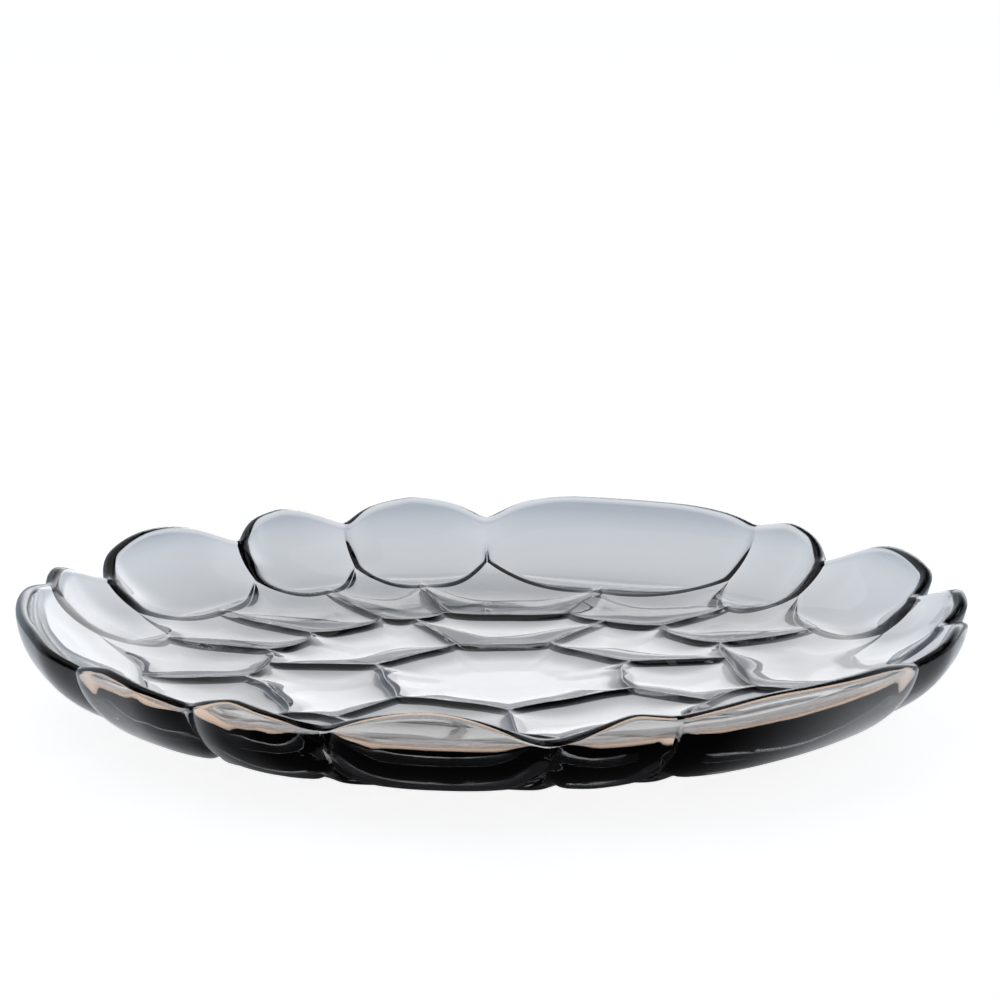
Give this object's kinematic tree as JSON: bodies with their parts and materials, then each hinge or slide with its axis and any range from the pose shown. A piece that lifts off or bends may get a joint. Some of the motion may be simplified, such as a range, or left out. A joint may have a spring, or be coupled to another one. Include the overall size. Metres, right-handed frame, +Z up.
{
  "type": "glass serving platter",
  "caption": "Shallow round platter of smoke-tinted pressed glass, with a scalloped wall of rounded petals and a floor of pebble-shaped facets, for serving food.",
  "frame": {"origin": "middle of the flat underside, on the plane the platter rests on", "axes": "+Z up through the middle of the dish; +Y away from the camera of the picture; +X to its right"},
  "size_m": [0.3199, 0.319, 0.036],
  "materials": {
    "smoke_glass": "clear polished smoke-grey glass"
  },
  "bodies": {
    "root": {"glass_platter": "smoke_glass"}
  },
  "joints": []
}
